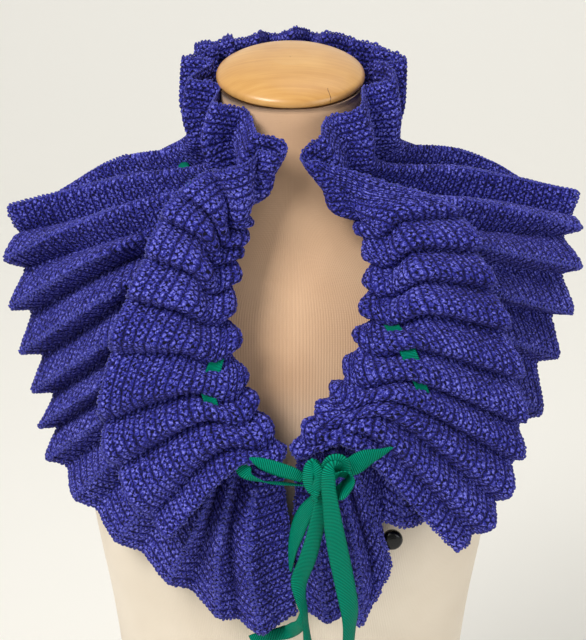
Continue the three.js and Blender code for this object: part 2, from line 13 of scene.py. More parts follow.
import bpy
import numpy as np
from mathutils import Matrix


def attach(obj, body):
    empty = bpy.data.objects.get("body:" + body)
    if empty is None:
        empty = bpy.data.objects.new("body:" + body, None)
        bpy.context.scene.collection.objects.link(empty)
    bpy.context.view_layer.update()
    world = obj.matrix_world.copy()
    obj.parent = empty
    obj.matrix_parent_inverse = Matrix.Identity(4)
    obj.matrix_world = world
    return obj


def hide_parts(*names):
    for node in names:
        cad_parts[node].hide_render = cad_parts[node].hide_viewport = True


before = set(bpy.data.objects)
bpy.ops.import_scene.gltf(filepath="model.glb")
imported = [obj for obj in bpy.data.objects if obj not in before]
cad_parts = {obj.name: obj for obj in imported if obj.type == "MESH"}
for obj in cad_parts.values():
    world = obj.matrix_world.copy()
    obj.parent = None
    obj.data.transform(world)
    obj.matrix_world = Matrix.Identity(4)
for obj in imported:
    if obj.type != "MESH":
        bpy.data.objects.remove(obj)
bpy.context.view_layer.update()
MM = 0.001

# %% [markdown]
# ## The shape of the band
#
# A knitted band keeps its rows and its stitches wherever it goes, so every point on it has
# two fixed numbers: u counts pleats from the left front end and v runs from the hem (0) to
# the free edge (1). The tables say where a few sections of the band lie. A smooth curve
# through them gives the sheet, and a wave across it gives the pleats. Sculpting could give
# the same look, but not evenly spaced pleats, and a cloth simulation would not fold them.

# %% Sections of the band
SECTIONS = (  # pleat, fold, hem, drape, roll, lay, edge
    (0, 8, (4, -139, 377), (-1, -146, 452), (-5, -155, 529), (-42, -169, 524), (-92, -166, 464)),
    (0.5, 10, (-23, -138, 363), (-34, -148, 450), (-10, -153, 538), (-52, -168, 532), (-106, -164, 474)),
    (1.5, 13, (-57, -135, 377), (-54, -148, 460), (-24, -148, 558), (-66, -163, 554), (-131, -157, 512)),
    (2.7, 14, (-104, -131, 413), (-72, -146, 478), (-34, -140, 578), (-77, -156, 578), (-142, -148, 552)),
    (4, 14, (-153, -108, 448), (-108, -126, 512), (-42, -128, 608), (-80, -145, 614), (-131, -137, 618)),
    (5.5, 14, (-192, -60, 479), (-127, -106, 550), (-44, -112, 643), (-72, -130, 655), (-110, -124, 666)),
    (7, 13, (-198, -46, 518), (-131, -96, 586), (-41, -98, 667), (-63, -112, 688), (-92, -105, 704)),
    (8.5, 10, (-212, -25, 560), (-137, -82, 628), (-36, -92, 682), (-49, -101, 708), (-66, -98, 728)),
    (10, 0, (-222, -8, 612), (-134, -58, 667), (-31, -78, 705), (-20, -82, 727), (-12, -87, 746)),
    (11.5, 0, (-225, 26, 652), (-137, 8, 682), (-56, -44, 716), (-58, -46, 742), (-51, -42, 768)),
    (13, 0, (-197, 94, 624), (-128, 60, 683), (-75, 14, 718), (-76, 14, 750), (-73, 17, 782)),
    (15, 0, (-110, 130, 545), (-77, 101, 641), (-53, 66, 710), (-56, 69, 752), (-59, 76, 789)),
    (17, 0, (0, 133, 514), (0, 110, 635), (0, 84, 708), (0, 88, 750), (0, 96, 790)),
    (19, 0, (110, 130, 545), (77, 101, 641), (53, 66, 710), (56, 69, 752), (60, 76, 787)),
    (21, 0, (200, 92, 634), (130, 60, 688), (78, 12, 718), (80, 12, 750), (79, 15, 782)),
    (22.5, 0, (229, 24, 664), (138, 8, 690), (63, -45, 718), (56, -51, 744), (48, -50, 770)),
    (24, 0, (226, -4, 642), (136, -54, 673), (42, -79, 694), (31, -82, 716), (18, -86, 738)),
    (25, 10, (225, -18, 610), (138, -72, 648), (53, -86, 681), (78, -97, 699), (118, -88, 703)),
    (26.5, 12, (209, -38, 562), (134, -92, 610), (61, -99, 655), (94, -113, 671), (144, -103, 665)),
    (28, 14, (187, -66, 500), (129, -104, 566), (58, -114, 627), (101, -131, 638), (161, -117, 622)),
    (29.2, 14, (147, -112, 475), (116, -120, 534), (51, -126, 606), (98, -143, 609), (174, -122, 577)),
    (30.3, 14, (96, -141, 459), (85, -136, 508), (40, -137, 586), (90, -153, 587), (177, -127, 538)),
    (31, 14, (64, -144, 462), (69, -141, 496), (32, -142, 575), (84, -158, 576), (176, -130, 518)),
    (31.6, 14, (78, -140, 423), (57, -145, 474), (25, -145, 567), (78, -161, 569), (172, -133, 500)),
    (32.5, 14, (56, -135, 372), (50, -146, 446), (16, -149, 554), (69, -165, 559), (161, -141, 474)),
    (33.5, 11, (28, -137, 374), (21, -147, 448), (6, -153, 541), (55, -168, 547), (143, -150, 452)),
    (34, 8, (8, -140, 381), (3, -146, 448), (2, -155, 532), (45, -168, 541), (125, -157, 447)),
)
PLEAT_SHAPES = (  # pleat, hem, drape, roll, lay, edge, ribbon
    (0, 9, 11, 4, 11, 10, 0.7),
    (1.5, 9, 13, 5, 11, 11, 0.71),
    (3.5, 8, 14, 7, 13, 11, 0.73),
    (6.5, 14, 20, 7, 13, 11, 0.72),
    (9.5, 17, 21, 10, 10, 11, 0.69),
    (12, 19, 19, 13, 14, 13, 0.65),
    (17, 19, 20, 14, 14, 14, 0.67),
    (22, 19, 19, 12, 12, 11, 0.65),
    (24.5, 17, 17, 5, 8, 11, 0.69),
    (27.5, 14, 20, 7, 13, 13, 0.695),
    (30, 9, 14, 7, 13, 14, 0.69),
    (30.8, 2, 11, 5, 9, 13, 0.69),
    (32.5, 12, 12, 5, 8, 13, 0.69),
    (34, 10, 11, 3, 7, 10, 0.7),
)
PLEATS = 34
WALL = 3.0
FACE = 31.0
RIDGE_SHARE = 0.12
FOLD_ROOM = 0.75
DEEPER = 1.3
LEAN = 0.15
DROOP = 0.3
BROADER = 0.7
FRILL = 1.55
DRIFT = 0.04
LEAST_HEIGHT = 4.0
COLLAR_UNEVEN = ((0.22, 2.1, 0.8), (0.16, 4.7, 0.0))
COLLAR_RUFFLE = ((2.2, 2 * math.pi, 0.6), (1.6, 1.9, 0.0))
LAPEL_TURN = 160.0
LAPEL_RISE = 0.15
DENSE_ROWS = 241
PLEAT_STEP = 0.35
CLOTH_STEP = 0.02


def curve_weights(places, at):
    """Weights that read a smooth curve through values standing at places."""
    places = np.asarray(places, float)
    at = np.atleast_1d(np.asarray(at, float))
    last = len(places) - 1
    i = np.clip(np.searchsorted(places, at, side="right") - 1, 0, last - 1)
    span = places[i + 1] - places[i]
    s = (at - places[i]) / span
    blend = (2 * s**3 - 3 * s**2 + 1, -2 * s**3 + 3 * s**2)
    pull = (s**3 - 2 * s**2 + s, s**3 - s**2)
    weights = np.zeros((len(at), last + 1))
    rows = np.arange(len(at))
    for k, part, slope in ((i, blend[0], pull[0]), (i + 1, blend[1], pull[1])):
        before = np.maximum(k - 1, 0)
        after = np.minimum(k + 1, last)
        step = slope * span / (places[after] - places[before])
        np.add.at(weights, (rows, k), part)
        np.add.at(weights, (rows, after), step)
        np.add.at(weights, (rows, before), -step)
    return weights


def unit(vectors):
    """Vectors of length one."""
    return vectors / np.maximum(np.linalg.norm(vectors, axis=-1, keepdims=True), 1e-9)


def run_along(points):
    """Distance along a line, at each of its points."""
    return np.concatenate([[0], np.cumsum(np.linalg.norm(np.diff(points, axis=0), axis=1))])


def curve_places(points):
    """Places for a curve's points, from the square roots of their gaps, so it can't overshoot."""
    gaps = np.sqrt(np.linalg.norm(np.diff(points, axis=0), axis=1))
    return np.concatenate([[0], np.cumsum(gaps)])


shape_table = np.array(PLEAT_SHAPES, float)


def shapes_at(u):
    """Pleat heights at hem, drape, roll, lay and edge, and the ribbon's place, at pleat u."""
    return curve_weights(shape_table[:, 0], u) @ shape_table[:, 1:]


def section_line(row):
    """Points of one section at even steps of cloth, with the pleat height in a fourth column."""
    pleat, fold = row[:2]
    hem, drape, roll, lay, edge = (np.array(p, float) for p in row[2:])
    at_hem, at_drape, at_roll, at_lay, at_edge, _ = shapes_at(pleat)[0]
    if fold > 0:
        inward = unit(roll - drape) - unit(lay - roll)
        outward = unit(np.array([roll[0] / LAPEL_TURN, -1, LAPEL_RISE]))
        inward = unit(inward - outward * (inward @ outward))
        centre = roll - inward * fold
        points = [hem, drape, centre - outward * fold, roll, centre + outward * fold, lay, edge]
        heights = [at_hem, at_drape, at_roll, at_roll, at_roll, at_lay, at_edge]
    else:
        points = [hem, drape, roll, lay, edge]
        heights = [at_hem, at_drape, at_roll, at_lay, at_edge]
    points = np.array(points)
    places = curve_places(points)
    fine = np.linspace(0, places[-1], 2 * DENSE_ROWS - 1)
    path = curve_weights(places, fine) @ points
    tall = np.interp(fine, places, heights)
    run = run_along(path)
    even = np.linspace(0, run[-1], DENSE_ROWS)
    return np.stack([np.interp(even, run, column) for column in (*path.T, tall)], axis=1)


section_lines = np.array([section_line(row) for row in SECTIONS])
pleat_places = np.array([row[0] for row in SECTIONS])


def sheet_at(u, v):
    """Places (and pleat heights, last) of the smooth sheet for all u by all v."""
    lines = np.tensordot(curve_weights(pleat_places, u), section_lines, axes=1)
    row = np.clip(v, 0, 1) * (DENSE_ROWS - 1)
    j = np.minimum(row.astype(int), DENSE_ROWS - 2)
    mix = (row - j)[None, :, None]
    return lines[:, j] * (1 - mix) + lines[:, j + 1] * mix


def blend(low, high, x):
    """0 up to low, 1 from high, and a smooth rise between."""
    t = np.clip((x - low) / (high - low), 0, 1)
    return t * t * (3 - 2 * t)


def soft_step(x, radius=0.13):
    """0 below 0, 1 above 1, a straight slope between, and rounded corners."""
    low = np.where(x < -radius, 0, np.where(x > radius, x, (x + radius) ** 2 / (4 * radius)))
    y = 1 - x
    high = np.where(y < -radius, 0, np.where(y > radius, y, (y + radius) ** 2 / (4 * radius)))
    return np.where(x < 0.5, low, 1 - high)


def hang(u):
    """Which way along u the folds hang over: 1 on the left, -1 on the right, 0 at the ends."""
    pleats = (0, 3, 6, 11, 15, 19, 23, 28, 31, 34)
    return np.interp(u, pleats, (0, 0.6, 1, 1, 0.3, -0.3, -1, -1, -0.6, 0))


def turned_over(u, v):
    """1 where the band lies turned over as a lapel, 0 on the cape and the collar."""
    lapel = np.interp(u, (8.5, 11.5, 22.5, 25), (1, 0, 0, 1))
    return lapel[:, None] * blend(0.43, 0.56, v)[None, :]


def fold_places(u, v):
    """Where in its pleat the outer valley and the outer crest stand, for all u by all v."""
    over = turned_over(u, v)
    side = LEAN * hang(u)[:, None]
    return side * (1 - over), 0.5 + side * over


def ripple(u, waves):
    """Sum of sine waves along u, each with its size, rate and shift."""
    return sum(size * np.sin(rate * u + shift) for size, rate, shift in waves)


def pleated(u, v):
    """Middle points of the pleated cloth for all u by all v."""
    base = sheet_at(u, v)
    u0, u1 = np.maximum(u - PLEAT_STEP, 0), np.minimum(u + PLEAT_STEP, PLEATS)
    along = (sheet_at(u1, v) - sheet_at(u0, v))[..., :3]
    across = unit((sheet_at(u, v + CLOTH_STEP) - sheet_at(u, v - CLOTH_STEP))[..., :3])
    normal = unit(np.cross(across, along))
    pitch = np.linalg.norm(along, axis=-1) / (u1 - u0)[:, None]
    valley, crest = fold_places(u, v)
    over = turned_over(u, v)
    middle = 4 * v * (1 - v)
    drift = DRIFT * np.sin(5.3 * v + 1.7 * np.round(u)[:, None]) * middle
    phase = (u[:, None] - valley + drift) % 1
    up = crest - valley
    rise = np.where(phase < up, phase / up, (1 - phase) / (1 - up))
    wave = soft_step((rise - RIDGE_SHARE) / (1 - 2 * RIDGE_SHARE)) ** (1 + BROADER * over) * 2 - 1
    room = np.sqrt(np.maximum(FACE**2 - (pitch / 2) ** 2, LEAST_HEIGHT**2))
    turn = np.minimum(pitch * RIDGE_SHARE / (FOLD_ROOM * WALL), 0.95)
    steepest = (0.5 - RIDGE_SHARE) * pitch * 2 * turn / (1 - turn**2)
    collar = (1 - turned_over(u, np.ones(1))) * blend(0.6, 0.92, v)
    uneven = 1 + ripple(u, COLLAR_UNEVEN)[:, None]
    frill = 1 + (FRILL * uneven - 1) * collar
    tallest = np.minimum(np.minimum(room, steepest * (1 + collar)), base[..., 3] * DEEPER * frill)
    height = wave * tallest / 2
    droop = -DROOP * hang(u)[:, None] * height * (1 - 2 * over)
    ruffle = collar * ripple(u, COLLAR_RUFFLE)[:, None]
    points = base[..., :3] + normal * height[..., None] + unit(along) * droop[..., None]
    return points + across * ruffle[..., None]


# %% [markdown]
# ## Stitches
#
# Garter stitch shows rows of yarn loops that turn up and down, so each row reads as a wavy
# cord with dark hollows between the cords. The loops are too big for a bump map alone,
# because they show at the edges and against the light, so they are raised in the mesh, with
# three points to a row. A slipped stitch makes a chain along the crest of each outer pleat.

# %% The relief of the knitting
ROWS = 70
STEPS_PER_ROW = 3
EDGE_ROW = ROWS * STEPS_PER_ROW
COLUMNS_PER_PLEAT = 39
STITCH = 4.6
STITCHES_PER_PLEAT = 11
LOOP_HEIGHT = 1.35
BUMP = (0.54, 0.62)
CORE = 0.75
EDGE_THICKNESS = 0.55
CHAIN_REACH = 2.6
LEG_FOOT = 0.5
LEG_SLANT = 1.3
LEG_WIDTH = 0.75

u_all = np.arange(PLEATS * COLUMNS_PER_PLEAT + 1) / COLUMNS_PER_PLEAT
v_all = np.arange(EDGE_ROW + 1) / EDGE_ROW


def garter(stitch, row):
    """Height, 0 to 1, of garter stitch: arched purl bumps of uneven size, row on row."""
    number = np.broadcast_to(np.floor(row), stitch.shape).astype(int)
    shift = np.random.default_rng(7).uniform(-0.22, 0.22, 97)
    x = stitch + 0.5 * (number % 2) + shift[number % 97]
    count = np.floor(x).astype(int)
    size = np.random.default_rng(8).uniform(0.55, 1, 1009)[(count * 31 + number * 17) % 1009]
    tilt = np.random.default_rng(9).uniform(-0.35, 0.35, 1013)[(count * 13 + number * 29) % 1013]
    x = x % 1 - 0.5
    way = 1 - 2 * (number % 2)
    y = row % 1 - 0.5 + way * (1.3 * x**2 - 0.12) + tilt * x
    return size * np.sqrt(np.clip(1 - (x / BUMP[0]) ** 2 - (y / BUMP[1]) ** 2, 0, 1))


def chain(aside, row):
    """Height, 0 to 1, of a chain of slipped stitches; aside is mm from the crest."""
    leg = row % 1
    reach = (aside - LEG_FOOT - LEG_SLANT * leg) / LEG_WIDTH
    return np.exp(-(reach**2)) * np.sin(math.pi * leg) ** 0.5


middle_points = pleated(u_all, v_all)
down_cloth = np.gradient(middle_points, axis=1)
along_cloth = np.gradient(middle_points, axis=0)
outward = unit(np.cross(down_cloth, along_cloth))
steps = np.linalg.norm(np.diff(middle_points, axis=0), axis=2)
run = np.concatenate([np.zeros((1, len(v_all))), np.cumsum(steps, axis=0)])


def beside_folds(places):
    """Cloth from each point to the nearest fold; places has a row of u for each fold."""
    aside = np.empty(run.shape)
    for j in range(run.shape[1]):
        folds = np.interp(places[:, j], u_all, run[:, j])
        nearest = np.searchsorted((folds[1:] + folds[:-1]) / 2, run[:, j])
        aside[:, j] = np.abs(run[:, j] - folds[nearest])
    return aside


rows_all = v_all[None, :] * ROWS
pleats = np.arange(PLEATS)
crest_places = pleats[:, None] + fold_places(pleats + 0.5, v_all)[1]
outer_aside = beside_folds(crest_places)
pleats = np.arange(PLEATS + 1)
valley_places = pleats[:, None] + fold_places(pleats.astype(float), v_all)[0]
inner_aside = beside_folds(np.clip(valley_places, 0, PLEATS))
outer_relief = garter(outer_aside / STITCH, rows_all)
near = np.clip(1 - outer_aside / CHAIN_REACH, 0, 1)
chained = np.maximum(outer_relief * (1 - near), chain(outer_aside, rows_all))
outer_relief = np.where(near > 0, chained, outer_relief)
inner_relief = garter(inner_aside / STITCH, rows_all)
edge_fade = np.minimum(np.minimum(v_all, 1 - v_all) * ROWS, 1)[None, :]
thickness = EDGE_THICKNESS + (1 - EDGE_THICKNESS) * edge_fade
outer_points = middle_points + outward * ((CORE + LOOP_HEIGHT * outer_relief) * thickness)[..., None]
inner_points = middle_points - outward * ((CORE + LOOP_HEIGHT * inner_relief) * thickness)[..., None]
print("cloth points", middle_points.shape, "cloth in a pleat", round(float(run[-1].max() / PLEATS), 1), "mm")


# %% [markdown]
# ## Patches of the band
#
# The whole band at this detail would pass a piece's triangle budget, and half of it faces
# something it lies on. So it is made as seven closed patches that share their border points.
# Each has the fine grid on the side that shows and a grid three times coarser behind it.

# %% Closed walls from two grids
def rim_strip(front, back):
    """Triangles between two rows of point numbers, of any lengths."""
    faces = []
    a = b = 0
    while a < len(front) - 1 or b < len(back) - 1:
        ahead = (a + 1) / (len(front) - 1) if a < len(front) - 1 else 2
        behind = (b + 1) / (len(back) - 1) if b < len(back) - 1 else 2
        if ahead <= behind:
            faces.append((front[a], front[a + 1], back[b]))
            a += 1
        else:
            faces.append((front[a], back[b + 1], back[b]))
            b += 1
    return faces


def grid_quads(numbers):
    """Quads of a grid of point numbers."""
    corners = (numbers[:-1, :-1], numbers[:-1, 1:], numbers[1:, 1:], numbers[1:, :-1])
    return np.stack([c.ravel() for c in corners], axis=1)


def wall_faces(front, back):
    """Faces of a closed wall between two grids of point numbers."""
    faces = grid_quads(front).tolist() + grid_quads(back)[:, ::-1].tolist()
    faces += rim_strip(front[:, 0], back[:, 0])
    faces += [f[::-1] for f in rim_strip(front[:, -1], back[:, -1]) + rim_strip(front[0], back[0])]
    faces += rim_strip(front[-1], back[-1])
    return faces


def triangles_in(mesh):
    """How many triangles a mesh has once its faces are split."""
    return sum(len(p.vertices) - 2 for p in mesh.polygons)


def link(name, data):
    """A new object that holds the data, linked to the scene."""
    obj = bpy.data.objects.new(name, data)
    bpy.context.scene.collection.objects.link(obj)
    return obj


def add_piece(name, points, faces, material, slot, maps=()):
    """A mesh object from points in mm; maps are (name, two numbers a point)."""
    mesh = bpy.data.meshes.new(name)
    mesh.from_pydata((np.asarray(points, float) * MM).tolist(), [], [[int(k) for k in f] for f in faces])
    mesh.polygons.foreach_set("use_smooth", [True] * len(mesh.polygons))
    corners = np.empty(len(mesh.loops), dtype=np.int32)
    mesh.loops.foreach_get("vertex_index", corners)
    for map_name, values in maps:
        layer = mesh.uv_layers.new(name=map_name)
        layer.data.foreach_set("uv", np.asarray(values, float)[corners].astype(np.float32).ravel())
    mesh.materials.append(material)
    obj = link(name, mesh)
    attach(obj, "root")
    print(name, triangles_in(mesh), "triangles")
    return obj


# %% [markdown]
# ## Finishes
#
# Every finish is procedural. Cloth reads its own maps, so the pattern follows the folds.

# %% Node helpers
class Graph:
    """A node tree with short calls for the nodes that this scene uses."""

    def __init__(self, tree):
        self.tree = tree

    def node(self, kind, values=(), **settings):
        made = self.tree.nodes.new(kind)
        for key, value in settings.items():
            setattr(made, key, value)
        for key, value in dict(values).items():
            self.feed(made.inputs[key], value)
        return made

    def feed(self, socket, value):
        if isinstance(value, bpy.types.NodeSocket):
            self.tree.links.new(value, socket)
        else:
            socket.default_value = value

    def math(self, operation, *values):
        return self.node("ShaderNodeMath", dict(enumerate(values)), operation=operation).outputs[0]

    add = partialmethod(math, "ADD")
    minus = partialmethod(math, "SUBTRACT")
    times = partialmethod(math, "MULTIPLY")
    above = partialmethod(math, "GREATER_THAN")
    below = partialmethod(math, "LESS_THAN")

    def sway(self, value, size):
        """A value about one half, turned into one about 0 and times size."""
        return self.times(self.minus(value, 0.5), size)

    def vector(self, operation, *values):
        return self.node("ShaderNodeVectorMath", dict(enumerate(values)), operation=operation).outputs[0]

    def split(self, vector):
        return self.node("ShaderNodeSeparateXYZ", {0: vector}).outputs

    def uv(self, name):
        return self.node("ShaderNodeUVMap", uv_map=name).outputs["UV"]

    def place(self):
        return self.node("ShaderNodeTexCoord").outputs["Object"]

    def ramp(self, fac, *stops):
        made = self.node("ShaderNodeValToRGB", {"Fac": fac})
        ramp = made.color_ramp
        while len(ramp.elements) < len(stops):
            ramp.elements.new(0.5)
        for element, (place, colour) in zip(ramp.elements, stops):
            element.position = place
            element.color = linear(colour)
        return made.outputs["Color"]

    def noise(self, vector, scale, detail=2.0, rough=0.5):
        values = {"Vector": vector, "Scale": scale, "Detail": detail, "Roughness": rough}
        return self.node("ShaderNodeTexNoise", values).outputs["Fac"]

    def bump(self, height, strength, distance, normal=None):
        values = {"Height": height, "Strength": strength, "Distance": distance}
        if normal is not None:
            values["Normal"] = normal
        return self.node("ShaderNodeBump", values).outputs["Normal"]


def linear(colour):
    """RGBA for Blender from sRGB numbers of 0 to 255."""
    parts = [c / 255 for c in colour]
    return (*((c / 12.92 if c <= 0.04045 else ((c + 0.055) / 1.055) ** 2.4) for c in parts), 1.0)


def new_material(name, **constants):
    """A material, its graph and its Principled shader, with constants set on the sockets."""
    material = bpy.data.materials.new(name)
    material.use_nodes = True
    shader = material.node_tree.nodes["Principled BSDF"]
    for key, value in constants.items():
        shader.inputs[key.replace("_", " ")].default_value = value
    return material, Graph(material.node_tree), shader


# %% The knitting as a node group
def garter_group():
    """Height of garter stitch, from a map that counts stitches and rows."""
    group = bpy.data.node_groups.new("GarterStitch", "ShaderNodeTree")
    group.interface.new_socket("Stitches", in_out="INPUT", socket_type="NodeSocketVector")
    group.interface.new_socket("Height", in_out="OUTPUT", socket_type="NodeSocketFloat")
    g = Graph(group)
    start = g.node("NodeGroupInput")
    end = g.node("NodeGroupOutput")
    stitches = start.outputs["Stitches"]
    wobble = g.node("ShaderNodeTexNoise", {"Vector": stitches, "Scale": 1.3, "Detail": 2.0})
    jitter = g.vector("SUBTRACT", wobble.outputs["Color"], (0.5, 0.5, 0.5))
    jitter = g.vector("MULTIPLY", jitter, (1.3, 0.9, 0))
    stitch, row, _ = g.split(g.vector("ADD", stitches, jitter))
    odd = g.math("FLOORED_MODULO", g.math("FLOOR", row), 2.0)
    x = g.minus(g.math("FRACT", g.add(stitch, g.times(odd, 0.5))), 0.5)
    way = g.minus(1.0, g.times(odd, 2.0))
    arch = g.minus(g.times(g.times(x, x), 2.2), 0.2)
    y = g.add(g.minus(g.math("FRACT", row), 0.5), g.times(arch, way))
    far_x = g.math("POWER", g.math("ABSOLUTE", g.times(x, 1 / 0.52)), 3.0)
    far_y = g.math("POWER", g.math("ABSOLUTE", g.times(y, 1 / 0.58)), 2.0)
    inside = g.math("MAXIMUM", g.minus(1.0, g.add(far_x, far_y)), 0.0)
    g.feed(end.inputs["Height"], g.math("SQRT", inside))
    return group


garter_nodes = garter_group()


WOOL = {"Roughness": 0.85, "Sheen_Weight": 0.2, "Sheen_Roughness": 0.45, "Specular_IOR_Level": 0.2}


def yarn_material():
    """Violet-blue wool, plied, a little fuzzy, with pinholes; painted shade in hollows, painted highlight on
    loops.
    """
    material, g, shader = new_material("knitted_yarn", **WOOL, Sheen_Tint=linear((150, 140, 235)))
    knit = g.node("ShaderNodeGroup", {"Stitches": g.uv("stitches")}, node_tree=garter_nodes).outputs["Height"]
    cloth = g.uv("cloth")
    place = g.place()
    dye = g.noise(place, 22.0, 3.0)
    ply = g.noise(place, 620.0, 3.0, 0.6)
    fibre = g.noise(place, 2400.0, 2.0)
    # Colour follows the stitch height: painted shade in the hollows and painted highlight on the loop tops,
    # over real ply and dye.
    shade = g.add(g.add(g.times(knit, 0.75), g.sway(ply, 1.6)), g.sway(dye, 0.35))
    # The top stop is the painted highlight, the bottom stop the painted shade.
    stops = ((0.0, (5, 4, 28)), (0.35, (20, 20, 88)), (0.65, (46, 48, 150)), (1.0, (132, 134, 240)))
    g.feed(shader.inputs["Base Color"], g.ramp(shade, *stops))
    height = g.add(knit, g.times(ply, 0.9))
    rough = g.bump(height, 0.8, 0.0013)
    g.feed(shader.inputs["Normal"], g.bump(fibre, 0.35, 0.0003, rough))
    hole = g.node("ShaderNodeTexVoronoi", {"Vector": cloth, "Scale": 1.0, "Randomness": 0.75})
    near_hem = g.split(cloth)["Y"]
    band = g.times(g.above(near_hem, 1.6), g.below(near_hem, 5.2))
    pick = g.above(g.split(hole.outputs["Color"])["X"], 0.8)
    small = g.below(hole.outputs["Distance"], 0.2)
    mask = g.times(g.times(band, pick), small)
    g.feed(shader.inputs["Alpha"], g.minus(1.0, mask))
    return material


yarn = yarn_material()


# %% The seven patches
COARSER = 3


def knit_patch(name, u_range, v_range, fine_outer, fine_inner):
    """One closed patch of the band; the side that isn't fine takes every third point."""
    i0, i1 = (k * COLUMNS_PER_PLEAT for k in u_range)
    j0, j1 = v_range
    grids = []
    outer, inner = (outer_points, outer_aside, fine_outer), (inner_points, inner_aside, fine_inner)
    for points, aside, fine in (outer, inner):
        i = np.arange(i0, i1 + 1, 1 if fine else COARSER)
        j = np.arange(j0, j1 + 1, 1 if fine else COARSER)
        rows = np.broadcast_to(rows_all[:, j], (len(i), len(j)))
        stitches = np.stack([aside[np.ix_(i, j)] / STITCH, rows], axis=-1)
        cloth = np.stack(np.broadcast_arrays((u_all[i] * STITCHES_PER_PLEAT)[:, None], rows), axis=-1)
        grids.append((points[np.ix_(i, j)], stitches, cloth))
    counts = [grid[0].shape[:2] for grid in grids]
    front = np.arange(counts[0][0] * counts[0][1]).reshape(counts[0])
    back = np.arange(counts[1][0] * counts[1][1]).reshape(counts[1]) + front.size
    points, stitches, cloth = (
        np.concatenate([part.reshape(-1, part.shape[-1]) for part in parts]) for parts in zip(*grids))
    maps = (("stitches", stitches), ("cloth", cloth))
    return add_piece(name, points, wall_faces(front, back), yarn, "yarn", maps)


ROLL_ROW = 99
PATCHES = (  # name, pleats, rows, fine outside, fine inside
    ("knit_cape_left", (0, 10), (0, ROLL_ROW), True, False),
    ("knit_cape_back", (10, 24), (0, ROLL_ROW), True, False),
    ("knit_cape_right", (24, 34), (0, ROLL_ROW), True, False),
    ("knit_lapel_left", (0, 10), (ROLL_ROW, EDGE_ROW), False, True),
    ("knit_lapel_right", (24, 34), (ROLL_ROW, EDGE_ROW), False, True),
    ("knit_collar_left", (10, 17), (ROLL_ROW, EDGE_ROW), True, True),
    ("knit_collar_right", (17, 24), (ROLL_ROW, EDGE_ROW), True, True),
)
knit = [knit_patch(*row) for row in PATCHES]
for piece in knit:
    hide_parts("capelet_band")

# %% [markdown]
# ## Loops along the edges and chains along the crests
#
# Nothing is sewn over the edges, so they end in the knitting's own loops. Slipped stitches
# make a crisp chain along the crest of each fold of the cape. Both are one small shape set
# on many points, so Geometry Nodes places them: a later change of the pleats moves them too.

# %% Points with their own axes
def spots_along(line, aim, spacing):
    """Points spaced along a line, with the way out of the cloth and the way along the line."""
    length = run_along(line)
    at = np.arange(spacing / 2, length[-1], spacing)
    columns = (line, unit(aim), unit(np.gradient(line, axis=0)))
    return [np.stack([np.interp(at, length, c) for c in part.T], axis=1) for part in columns]


def edge_spots():
    """Four fifths of a stitch apart on the hem, the free edge and both front ends."""
    m = middle_points
    rims = ((m[:, 0], m[:, 2]), (m[:, -1], m[:, -3]), (m[0], m[2]), (m[-1], m[-3]))
    return [spots_along(line, line - inner, STITCH * 0.8) for line, inner in rims]


def crest_spots():
    """A row apart on the outer crests of the cape, from the hem nearly to the roll."""
    parts = []
    rows = np.arange(CHAIN_ROWS * STEPS_PER_ROW)
    for places in crest_places:
        at = places[rows] * COLUMNS_PER_PLEAT
        low = np.clip(np.floor(at).astype(int), 0, len(u_all) - 2)
        mix = (at - low)[:, None]
        line = outer_points[low, rows] * (1 - mix) + outer_points[low + 1, rows] * mix
        out = outward[low, rows]
        parts.append(spots_along(line + out * CHAIN_LIFT, out, CHAIN_STEP))
    return parts


def instancer(name, shape, values, low, high):
    """Geometry Nodes that set a shape on every point, turned by the point's way and aim."""
    tree = bpy.data.node_groups.new(name, "GeometryNodeTree")
    tree.interface.new_socket("Geometry", in_out="INPUT", socket_type="NodeSocketGeometry")
    for label, value in values:
        tree.interface.new_socket(label, in_out="INPUT", socket_type="NodeSocketFloat").default_value = value
    tree.interface.new_socket("Geometry", in_out="OUTPUT", socket_type="NodeSocketGeometry")
    g = Graph(tree)
    start = g.node("NodeGroupInput")
    way, aim = (
        g.node("GeometryNodeInputNamedAttribute", {"Name": key}, data_type="FLOAT_VECTOR").outputs[0]
        for key in ("way", "aim"))
    turn = g.node("FunctionNodeAxesToRotation", {0: way, 1: aim}, primary_axis="X", secondary_axis="Y")
    size = g.node(
        "FunctionNodeRandomValue", {"Min": low, "Max": high, "Seed": 4}, data_type="FLOAT_VECTOR")
    placed = g.node("GeometryNodeInstanceOnPoints", {
        "Points": start.outputs["Geometry"], "Instance": shape(g, start), "Rotation": turn.outputs[0],
        "Scale": size.outputs[0]})
    real = g.node("GeometryNodeRealizeInstances", {"Geometry": placed.outputs["Instances"]})
    smooth = g.node("GeometryNodeSetShadeSmooth", {"Geometry": real.outputs["Geometry"]})
    painted = g.node("GeometryNodeSetMaterial", {
        "Geometry": smooth.outputs["Geometry"], "Material": yarn_cord})
    g.node("NodeGroupOutput", {"Geometry": painted.outputs["Geometry"]})
    return tree


def circle(g, corners, radius):
    """A round curve with few corners."""
    values = {"Resolution": corners, "Radius": radius}
    return g.node("GeometryNodeCurvePrimitiveCircle", values).outputs["Curve"]


def ring_shape(g, start):
    """A ring of yarn that lies in the cloth."""
    ring = circle(g, 7, start.outputs["Loop Radius"])
    tube = circle(g, 4, start.outputs["Yarn Radius"])
    return g.node("GeometryNodeCurveToMesh", {"Curve": ring, "Profile Curve": tube}).outputs["Mesh"]


def vee_shape(g, start):
    """Two slanted legs of one slipped stitch, side by side."""
    values = {"Segments": 6, "Rings": 4, "Radius": start.outputs["Yarn Radius"]}
    ball = g.node("GeometryNodeMeshUVSphere", values).outputs["Mesh"]
    both = g.node("GeometryNodeJoinGeometry")
    for side in (-1, 1):
        leg = g.node("GeometryNodeTransform", {
            "Geometry": ball, "Translation": (0, 0, side * LEG_APART * MM),
            "Rotation": (0, side * LEG_TURN, 0), "Scale": (2.3, 0.9, 1.0)})
        g.tree.links.new(leg.outputs["Geometry"], both.inputs["Geometry"])
    return both.outputs["Geometry"]


